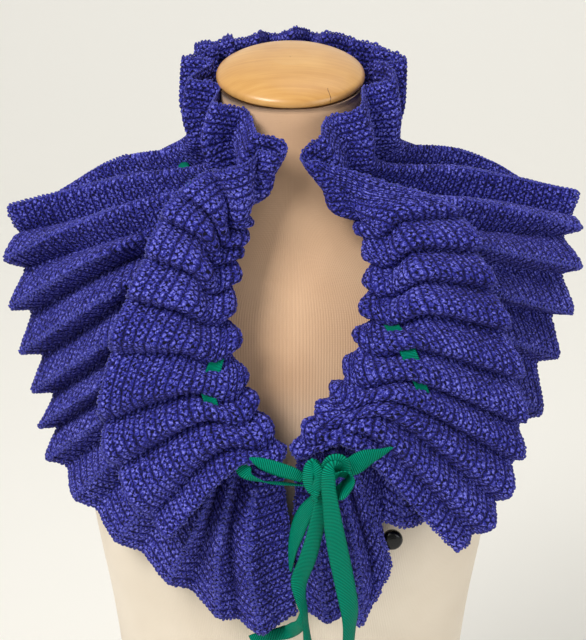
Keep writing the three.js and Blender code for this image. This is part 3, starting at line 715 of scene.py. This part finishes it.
def yarn_cord_material():
    """The same wool without the knitting's pattern, for single loops."""
    material, g, shader = new_material("yarn_loops", **WOOL)
    ply = g.noise(g.place(), 700.0, 2.0)
    g.feed(shader.inputs["Base Color"], g.ramp(ply, (0.35, (20, 20, 86)), (0.65, (80, 82, 190))))
    g.feed(shader.inputs["Normal"], g.bump(ply, 0.5, 0.0006))
    return material


def spread(name, parts, tree, setting):
    """A mesh made by a node group on the spots of all parts, with one input set by its identifier."""
    places, aims, ways = (np.concatenate(part) for part in zip(*parts))
    mesh = bpy.data.meshes.new(name)
    mesh.from_pydata((places * MM).tolist(), [], [])
    for key, values in (("aim", aims), ("way", ways)):
        layer = mesh.attributes.new(key, "FLOAT_VECTOR", "POINT")
        layer.data.foreach_set("vector", values.astype(np.float32).ravel())
    obj = link(name, mesh)
    modifier = obj.modifiers.new("spread", "NODES")
    modifier.node_group = tree
    for item in tree.interface.items_tree:
        if item.in_out == "INPUT" and item.name == setting[0]:
            modifier[item.identifier] = setting[1]
    obj.data = bpy.data.meshes.new_from_object(obj.evaluated_get(bpy.context.evaluated_depsgraph_get()))
    obj.modifiers.clear()
    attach(obj, "root")
    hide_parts("capelet_band")
    print(name, len(places), "spots,", triangles_in(obj.data), "triangles")


CHAIN_ROWS = 30
CHAIN_STEP = 4.3
CHAIN_LIFT = 0.2
LEG_APART = 1.15
LEG_TURN = 0.5
LOOP_RADIUS = ("Loop Radius", 1.3 * MM)
LOOP_YARN = ("Yarn Radius", 0.85 * MM)
LEG_YARN = ("Yarn Radius", 1.05 * MM)
yarn_cord = yarn_cord_material()
rings = instancer("EdgeLoops", ring_shape, (LOOP_RADIUS, LOOP_YARN), (0.8, 0.6, 0.8), (1.3, 1.5, 1.2))
spread("edge_loops", edge_spots(), rings, LOOP_RADIUS)
vees = instancer("CrestChains", vee_shape, (LEG_YARN,), (0.85, 0.85, 0.85), (1.15, 1.15, 1.1))
spread("crest_chains", crest_spots(), vees, LEG_YARN)

# %% [markdown]
# ## The dress form
#
# The form is a padded shell under a fine ribbed jersey. Its outline comes from the same
# cross-sections as the CAD solid, with more points, so that its edge is smooth.

# %% The form's skin
FORM_ROWS = (  # height, half width, front, back
    (0, 172, -110, 118),
    (60, 172, -112, 118),
    (140, 156, -108, 100),
    (220, 144, -98, 80),
    (280, 147, -102, 78),
    (340, 153, -113, 80),
    (390, 160, -126, 85),
    (435, 166, -131, 90),
    (480, 168, -128, 95),
    (530, 172, -117, 98),
    (575, 178, -100, 98),
    (608, 176, -85, 94),
    (632, 152, -74, 86),
    (654, 118, -66, 77),
    (674, 88, -61, 70),
    (692, 69, -58, 65),
    (718, 60, -56, 62),
    (774, 57, -52, 62),
)
FORM_LEAN = 0.15
FORM_ROUNDNESS = 2.3
FORM_AROUND = 160
RIBS_PER_SIDE = 300
COURSE = 1.6


def ring_solid(rings):
    """Points and faces of a closed solid through rings of points."""
    rings = np.asarray(rings, float)
    count, around = rings.shape[:2]
    points = np.concatenate([rings.reshape(-1, 3), rings[0].mean(0)[None], rings[-1].mean(0)[None]])
    numbers = np.arange(count * around).reshape(count, around)
    closed = np.concatenate([numbers, numbers[:, :1]], axis=1)
    faces = grid_quads(closed)[:, ::-1].tolist()
    foot, top = count * around, count * around + 1
    for k in range(around):
        faces.append((foot, closed[0, k + 1], closed[0, k]))
        faces.append((top, closed[-1, k], closed[-1, k + 1]))
    return points, faces


def jersey_material():
    """Cream ribbed jersey, fine upright ribs, soft and matt; painted shade in rib grooves and on the chest.
    """
    material, g, shader = new_material(
        "ribbed_jersey", Roughness=0.9, Sheen_Weight=0.15, Specular_IOR_Level=0.2)
    around, up, _ = g.split(g.uv("ribs"))
    rib, course = (g.math("SINE", g.times(count, 2 * math.pi)) for count in (around, up))
    weave = g.add(rib, g.times(course, 0.35))
    place = g.place()
    soft = g.noise(place, 9.0, 3.0)
    # The rib relief also tints the colour a little: painted shade in the grooves, painted highlight on the
    # ribs.
    tone = g.add(g.times(weave, 0.045), soft)
    cream = g.ramp(tone, (0.3, (226, 212, 192)), (0.7, (238, 226, 208)))
    # Painted shade: from the bust up, under the capelet, the cream is painted a darker tan.
    painted_shade_cream = g.ramp(tone, (0.3, (212, 170, 134)), (0.7, (226, 188, 152)))
    # The height over which the painted shade sets in.
    values = {"Value": g.split(place)["Z"], "From Min": 0.44, "From Max": 0.56}
    painted_shade_blend = g.node("ShaderNodeMapRange", values).outputs[0]
    mixed = g.node("ShaderNodeMix", {0: painted_shade_blend, 6: cream, 7: painted_shade_cream}, data_type="RGBA")
    g.feed(shader.inputs["Base Color"], mixed.outputs[2])
    g.feed(shader.inputs["Normal"], g.bump(weave, 0.35, 0.00025))
    return material


def form_skin():
    """The smooth form with a map that counts ribs round it and courses up it."""
    table = np.array(FORM_ROWS, float)
    neck, top = table[-2:, 0]
    heights = np.concatenate([[0, 0.01], np.linspace(4, neck, 88), np.linspace(neck, top, 12)[1:]])
    rows = curve_weights(table[:, 0], heights) @ table
    high, wide, front, back = rows.T[:, :, None]
    angle = np.linspace(0, 2 * math.pi, FORM_AROUND, endpoint=False)
    power = 2 / FORM_ROUNDNESS
    c, s = np.cos(angle), np.sin(angle)
    x = wide * np.sign(c) * np.abs(c) ** power
    y = (front + back) / 2 + (back - front) / 2 * np.sign(s) * np.abs(s) ** power
    lean = np.clip((high - neck) / (top - neck), 0, 1) * FORM_LEAN
    points, faces = ring_solid(np.stack([x, y, high + lean * y], axis=-1))
    turns = np.abs(((angle / (2 * math.pi)) + 0.25) % 1 - 0.5) * 2 * RIBS_PER_SIDE
    ribs = np.stack(np.broadcast_arrays(turns, high / COURSE), axis=-1)
    ribs = np.concatenate([ribs.reshape(-1, 2), [[0, 0], [0, 0]]])
    obj = add_piece("form_jersey", points, faces, jersey_material(), "jersey", [("ribs", ribs)])
    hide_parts("form_torso")
    return obj


form = form_skin()

# %% The wooden neck cap
CAP_ROWS = (  # radius, height
    (55, 0),
    (58, 1.5),
    (58, 5),
    (55.5, 8),
    (47, 12.6),
    (34, 16.2),
    (18, 18.4),
)
CAP_HEIGHT = 19.0
CAP_LENGTH = 1.02
SEAT = 0.3
CRACK_AHEAD = 44.0
CRACK_SIDE = 27.5
CRACK_HALF = 0.3
TILT = math.atan(FORM_LEAN)


def rounded_rows(rows, tip, steps=6):
    """A turned outline, rounded: rows of (radius, height), then a dome up to the tip."""
    last, height = rows[-1]
    dome = [(last * s, tip - (tip - height) * s**2) for s in (0.7, 0.45, 0.22, 0.03)]
    table = np.array([*rows, *dome], float)
    places = curve_places(table)
    return curve_weights(places, np.linspace(0, places[-1], len(table) * steps)) @ table


def turned_rings(rows, base, one, two, axis, around):
    """Rings of a turned piece that stands on base; one and two lie across its axis."""
    angle = np.linspace(0, 2 * math.pi, around, endpoint=False)[:, None]
    rim = np.cos(angle) * one + np.sin(angle) * two
    return [base + (SEAT + h) * axis + r * rim for r, h in rows]


def wood_material(crack_front):
    """Honey-coloured lacquered wood with fine grain and one short crack at the rim."""
    material, g, shader = new_material("turned_wood", Roughness=0.38, Coat_Weight=0.35, Coat_Roughness=0.25)
    place = g.place()
    grain = g.node("ShaderNodeMapping", {
        "Vector": place, "Scale": (16.0, 380.0, 90.0), "Rotation": (0.0, 0.0, 0.12)})
    lines = g.noise(grain.outputs[0], 1.0, 4.0, 0.6)
    broad = g.noise(place, 30.0, 2.0)
    tone = g.add(g.times(lines, 0.5), g.times(broad, 0.5))
    x, y, _ = g.split(place)
    slanted = g.add(g.minus(x, CRACK_SIDE * MM), g.times(g.minus(y, crack_front), 0.5))
    aside = g.math("ABSOLUTE", g.add(slanted, g.sway(g.noise(place, 260.0, 2.0), 0.004)))
    crack = g.times(g.below(aside, CRACK_HALF * MM), g.below(y, crack_front))
    tone = g.minus(tone, g.times(crack, 0.6))
    stops = ((0.0, (92, 52, 22)), (0.3, (196, 142, 76)), (0.52, (209, 157, 88)), (0.75, (222, 174, 104)))
    g.feed(shader.inputs["Base Color"], g.ramp(tone, *stops))
    g.feed(shader.inputs["Normal"], g.bump(lines, 0.08, 0.0004))
    return material


def neck_cap():
    """The domed cap, square to the leaning neck."""
    table = np.array(FORM_ROWS, float)[-1]
    middle = (table[2] + table[3]) / 2
    base = np.array([0, middle, table[0] + FORM_LEAN * middle])
    ahead = np.array([0, math.cos(TILT), math.sin(TILT)])
    up = np.array([0, -math.sin(TILT), math.cos(TILT)])
    side = np.array([1.0, 0, 0])
    rings = turned_rings(rounded_rows(CAP_ROWS, CAP_HEIGHT), base, side, CAP_LENGTH * ahead, up, 128)
    obj = add_piece("wooden_cap", *ring_solid(rings), wood_material((middle - CRACK_AHEAD) * MM), "wood")
    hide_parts("neck_cap")


neck_cap()

# %% The knob
KNOB_ROWS = (  # radius, height
    (5, 0),
    (5, 4),
    (7.4, 4.4),
    (8.2, 6.5),
    (8.2, 9),
    (6.6, 11.2),
    (3.4, 12.2),
)
KNOB_HEIGHT = 12.5
KNOB_PLACE = (78.5, -130.0, 443.2)
KNOB_AXIS = (0.12, -0.99, 0.02)
STEM = 4.0


def black_knob():
    """A glossy black knob on a short grey stem."""
    material, g, shader = new_material("black_knob", Roughness=0.2, Specular_IOR_Level=0.35)
    stem = g.above(g.split(g.place())["Y"], (KNOB_PLACE[1] - STEM) * MM)
    g.feed(shader.inputs["Base Color"], g.ramp(stem, (0.0, (5, 5, 6)), (1.0, (96, 92, 94))))
    axis = unit(np.array(KNOB_AXIS))
    side = unit(np.cross([0, 0, 1], axis))
    up = np.cross(axis, side)
    rings = turned_rings(rounded_rows(KNOB_ROWS, KNOB_HEIGHT, 4), KNOB_PLACE, side, up, axis, 48)
    obj = add_piece("form_knob_turned", *ring_solid(rings), material, "knob")
    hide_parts("form_knob")


black_knob()

# %% [markdown]
# ## The ribbon
#
# Grosgrain is a stiff narrow ribbon with fine ribs across it. Each length is a thin closed
# strip along a few points, with its own roll about the path, as one would bend real ribbon.

# %% Strips of grosgrain
RIBBON = 16.0
RIBBON_THICK = 0.5
RIB = 1.4
STRIP_ACROSS = 6


def ribbon_material():
    """Emerald grosgrain: a rib across every 1.4 mm, painted shade between ribs, a firm edge and a soft shine.
    """
    material, g, shader = new_material("grosgrain", Roughness=0.5, Specular_IOR_Level=0.05)
    along, across, _ = g.split(g.uv("ribbon"))
    rib = g.math("SINE", g.times(along, 2 * math.pi / RIB))
    edge = g.above(g.math("ABSOLUTE", across), 0.46)
    # The ribs also set the colour: painted shade between ribs and painted highlight on them.
    tone = g.add(g.times(rib, 0.3), 0.5)
    tone = g.minus(tone, g.times(edge, 0.12))
    stops = ((0.1, (0, 66, 52)), (0.5, (0, 124, 98)), (0.95, (0, 170, 136)))
    g.feed(shader.inputs["Base Color"], g.ramp(tone, *stops))
    g.feed(shader.inputs["Normal"], g.bump(rib, 0.8, 0.0003))
    return material


grosgrain = ribbon_material()


def strip_arrays(middle, across, cup):
    """Points, faces and map of a closed strip; middle and across are one row a step."""
    share = np.linspace(-0.5, 0.5, STRIP_ACROSS + 1)[:, None]
    run = run_along(middle)
    path = unit(np.gradient(middle, axis=0))
    normal = unit(np.cross(across, path))
    bend = cup * (0.25 - share**2) * 4
    grid = middle[:, None] + across[:, None] * share + normal[:, None] * bend
    face = unit(np.cross(np.gradient(grid, axis=1), np.gradient(grid, axis=0)))
    front = grid + face * RIBBON_THICK / 2
    back = grid - face * RIBBON_THICK / 2
    numbers = np.arange(front.shape[0] * front.shape[1]).reshape(front.shape[:2])
    points = np.concatenate([front.reshape(-1, 3), back.reshape(-1, 3)])
    flat = np.stack(np.broadcast_arrays(run[:, None], share.T), axis=-1).reshape(-1, 2)
    return points, wall_faces(numbers, numbers + numbers.size), np.concatenate([flat, flat]), run[-1]


GLIMPSES = (2.5, 3.5, 11.0, 12.0, 28.5, 29.5, 30.5)
GLIMPSE_REACH = 0.42
HIDDEN = 5.5
SHOWN = 1.5
VALLEY_WIDTH = 12.0
VALLEY_CUP = 1.6


def threaded_ribbon():
    """The stretch of ribbon that runs through every pleat."""
    u = np.linspace(0, PLEATS, PLEATS * 12 + 1)
    place = shapes_at(u)[:, 5]
    middle, before, after = (
        np.concatenate([sheet_at(u[i:i + 1], place[i:i + 1] + shift)[0, :, :3] for i in range(len(u))])
        for shift in (0.0, -CLOTH_STEP, CLOTH_STEP)
    )
    across = unit(after - before) * VALLEY_WIDTH
    along = unit(np.gradient(middle, axis=0))
    outward_here = unit(np.cross(across, along))
    seen = np.max(np.exp(-(((u[:, None] - np.array(GLIMPSES)) / GLIMPSE_REACH) ** 2)), axis=1)
    depth = HIDDEN * (1 - seen) - SHOWN * seen
    middle = middle + outward_here * (depth * np.interp(u, (9, 11, 23, 25), (1, -1, -1, 1)))[:, None]
    points, faces, flat, length = strip_arrays(middle, across, VALLEY_CUP)
    obj = add_piece("ribbon_through_pleats", points, faces, grosgrain, "ribbon", [("ribbon", flat)])
    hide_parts("ribbon_threaded")
    return obj, length


threaded, threaded_length = threaded_ribbon()
print("threaded ribbon", round(threaded_length), "mm")

# %% [markdown]
# ## The bow
#
# The two ends cross in a half knot, with a fold standing up behind it, a small rolled loop
# and three tails. Each strip below is a list of points in mm with its turn about the path in
# degrees (0 lies flat to the front) and the share of the ribbon's width that it keeps.

# %% Strips of the bow
BOW_CUP = 0.8
BOW = {
    "strand_left_upper": (
        (-30.2, -173, 531.1, 0, 0.15), (-21.4, -178, 529.5, 5, 0.62), (-9.8, -182, 527.1, 8, 0.78),
        (1, -184, 524.3, 8, 0.72), (9.6, -184, 520.1, 5, 0.47),
    ),
    "strand_left_lower": (
        (-39, -168, 527.5, 0, 0.66), (-34.3, -172, 520.6, 0, 0.73), (-28.9, -175, 516.2, 35, 0.54),
        (-15.6, -178, 514, 70, 0.69), (-0.7, -180, 513.5, 75, 0.57), (10.9, -182, 513.4, 60, 0.44),
    ),
    "strand_right": (
        (76.6, -170, 539.2, 0, 0.07), (67.2, -174, 536.3, -10, 0.49), (55.5, -178, 533.5, 0, 0.9),
        (46.4, -181, 529.1, 0, 0.97), (37.3, -183, 526.1, -15, 0.8), (29.1, -182, 522.8, -20, 0.47),
    ),
    "wrap": (
        (21.7, -180, 526.4, 0, 0.44), (16.6, -185, 532.9, 10, 0.49), (13.5, -190, 528.7, 20, 0.54),
        (13.8, -191, 520, 15, 0.57), (18.3, -190, 513.4, 0, 0.55), (24.1, -187, 514.3, -10, 0.45),
    ),
    "wrap_over": (
        (15, -182, 533.8, 0, 0.33), (19.1, -190, 531.4, 0, 0.48), (22, -193, 525.6, 0, 0.55),
        (19.9, -192, 516.8, 0, 0.55), (15.1, -188, 509.8, 0, 0.4),
    ),
    "top_fold": (
        (26.1, -186, 523, 0, 0.44), (26.9, -190, 533.2, 0, 0.51), (30.8, -192, 539.3, 5, 0.57),
        (37, -190, 538.3, 10, 0.62), (39.7, -187, 529.9, 0, 0.66), (37.3, -184, 522, 0, 0.55),
    ),
    "small_loop": (
        (32.3, -188, 522, 55, 0.77), (36.3, -190, 528.5, 62, 1), (41.7, -191, 530.1, 70, 1),
        (45.4, -190, 524.4, 76, 1), (43.2, -189, 517.7, 74, 1), (38.7, -188, 512, 66, 1),
        (34.1, -186, 508.8, 50, 0.62),
    ),
    "tail_front": (
        (37.2, -186, 529.4, 0, 0.55), (32.1, -193, 534.7, 0, 0.62), (28.5, -196, 530.8, 0, 0.66),
        (28.2, -195, 519.3, 0, 0.68), (29.9, -192, 503, 5, 0.75), (32.7, -186, 479.3, 0, 0.9),
        (36.8, -178, 452.1, -8, 0.98), (42.9, -171, 417.1, -20, 1), (46.1, -168, 395.7, -35, 1),
        (46, -166, 378.5, -50, 1), (43.8, -165, 341.6, -55, 1),
    ),
    "tail_side": (
        (24.9, -186, 520.2, 0, 0.55), (23.5, -186, 507.3, -5, 0.66), (21.8, -184, 493.2, -8, 0.69),
        (18.6, -179, 471.7, -12, 0.79), (12.9, -173, 445.5, -16, 0.89), (7.1, -168, 425.2, -20, 0.89),
        (7.8, -167, 408.9, -45, 0.71), (11, -165, 393.9, -70, 0.82), (12.1, -163, 378.7, -60, 0.57),
        (15.9, -162, 339.6, -40, 0.86),
    ),
    "tail_behind": (
        (22.2, -182, 507.1, 0, 0.51), (18.5, -180, 498.6, 25, 0.7), (11.4, -176, 487.1, 35, 0.83),
        (6, -171, 471.2, 45, 0.9), (2, -165, 452.6, 52, 0.71), (0.5, -160, 436.3, 60, 0.48),
        (0.3, -157, 426.8, 60, 0.22),
    ),
    "tail_low": (
        (10.3, -164, 395.3, 0, 0.29), (7.9, -161, 381.9, 20, 0.54), (3.4, -150, 370.9, 30, 0.71),
        (-1.7, -134, 358.3, 30, 0.71), (-9.8, -131, 354.2, 20, 0.65), (-18.7, -131, 352.1, 0, 0.62),
        (-25.8, -131, 350.3, 0, 0.66), (-31.6, -131, 347.8, 0, 0.66),
    ),
    "knot_tip": (
        (20.8, -190, 514.9, 0, 0.29), (19.5, -191, 511.3, 0, 0.33), (18.2, -190, 507.9, 0, 0.29),
        (19.5, -189, 504, 0, 0.2),
    ),
}


def turned(vectors, axes, angles):
    """Vectors turned about unit axes by angles in radians."""
    c, s = np.cos(angles)[:, None], np.sin(angles)[:, None]
    kept = axes * np.sum(axes * vectors, axis=1, keepdims=True) * (1 - c)
    return vectors * c + np.cross(axes, vectors) * s + kept


def bow_piece():
    """All strips of the bow as one mesh."""
    points, faces, flat, length = [], [], [], 0
    front = np.array([0, -1.0, 0])
    for rows in BOW.values():
        rows = np.array(rows, float)
        at = np.linspace(0, len(rows) - 1, (len(rows) - 1) * 8 + 1)
        values = curve_weights(np.arange(len(rows)), at) @ rows
        path = unit(np.gradient(values[:, :3], axis=0))
        side = turned(unit(np.cross(path, front)), path, np.radians(values[:, 3]))
        part = strip_arrays(values[:, :3], side * (RIBBON * values[:, 4])[:, None], BOW_CUP)
        start = sum(len(p) for p in points)
        points.append(part[0])
        faces += [[k + start for k in f] for f in part[1]]
        flat.append(part[2])
        length += part[3]
    maps = [("ribbon", np.concatenate(flat))]
    obj = add_piece("ribbon_tied", np.concatenate(points), faces, grosgrain, "ribbon", maps)
    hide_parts("ribbon_bow")
    return obj, length


bow, bow_length = bow_piece()
print("bow's ribbon", round(bow_length), "mm")

# %% [markdown]

# %% [markdown]
# ## Stage, light and camera
#
# A pale floor and wall, a big soft light from the front and upper left, a weaker fill, and a
# third light aimed at the wall.

# %% Floor that sweeps up into a wall
def sweep():
    """A floor that curves up into a wall without a line; from behind it can't be seen."""
    bend = [(2.0 + 1.2 * math.sin(a), 1.2 - 1.2 * math.cos(a)) for a in np.linspace(0, math.pi / 2, 25)]
    profile = [(-6.0, 0.0), *bend, (3.2, 6.0)]
    points = [(x, y, z - 0.001) for y, z in profile for x in (-7.0, 7.0)]
    faces = [(2 * k, 2 * k + 1, 2 * k + 3, 2 * k + 2) for k in range(len(profile) - 1)]
    mesh = bpy.data.meshes.new("studio_sweep")
    mesh.from_pydata(points, [], faces)
    mesh.polygons.foreach_set("use_smooth", [True] * len(faces))
    material, g, shader = new_material(
        "studio_paint", Roughness=1.0, Specular_IOR_Level=0.0, Base_Color=linear((226, 224, 218)),
        Emission_Color=linear((238, 236, 229)), Emission_Strength=0.22)
    seen_from_behind = g.node("ShaderNodeNewGeometry").outputs["Backfacing"]
    g.feed(shader.inputs["Alpha"], g.minus(1.0, seen_from_behind))
    mesh.materials.append(material)
    link("studio_sweep", mesh)


sweep()


# %% Lights
def area_light(name, place, target, size, power, colour=(1, 1, 1)):
    data = bpy.data.lights.new(name, "AREA")
    data.shape = "SQUARE"
    data.size = size
    data.energy = power
    data.color = colour
    obj = link(name, data)
    obj.location = place
    obj.rotation_euler = aim_angles(np.array(target, float) - np.array(place, float))


def aim_angles(aim):
    """Euler angles that point an object's -Z along aim, with its top up."""
    flat = math.hypot(aim[0], aim[1])
    return (math.pi / 2 + math.atan2(aim[2], flat), 0, math.atan2(-aim[0], aim[1]))


area_light("window", (-1.3, -1.5, 2.5), (0, 0, 0.6), 1.1, 65, (1.0, 0.985, 0.96))
area_light("fill", (2.2, -1.8, 1.2), (0, 0, 0.55), 1.6, 24, (0.96, 0.98, 1.0))
area_light("wall_wash", (0.9, 1.2, 3.2), (0.5, 2.6, 1.0), 2.4, 26)

world = bpy.data.worlds.new("studio")
world.use_nodes = True
sky = world.node_tree.nodes["Background"]
sky.inputs["Color"].default_value = (1.0, 0.99, 0.97, 1)
sky.inputs["Strength"].default_value = 0.29
bpy.context.scene.world = world
bpy.context.scene.view_settings.view_transform = "Standard"

# %% Camera
CAMERA_TARGET = np.array([2.0, -60.0, 597.0])
CAMERA_DISTANCE = 1500.0
CAMERA_DOWN = math.radians(22)
camera_data = bpy.data.cameras.new("camera")
camera_data.lens = 107
camera_data.sensor_width = 36
camera = link("camera", camera_data)
look = np.array([0, math.cos(CAMERA_DOWN), -math.sin(CAMERA_DOWN)])
camera.location = (CAMERA_TARGET - look * CAMERA_DISTANCE) * MM
camera.rotation_euler = aim_angles(look)
bpy.context.scene.camera = camera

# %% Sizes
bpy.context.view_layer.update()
made = [obj for obj in bpy.data.objects if obj.type == "MESH" and obj.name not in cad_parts]
print("triangles in all", sum(triangles_in(obj.data) for obj in made if not obj.name.startswith("studio")))
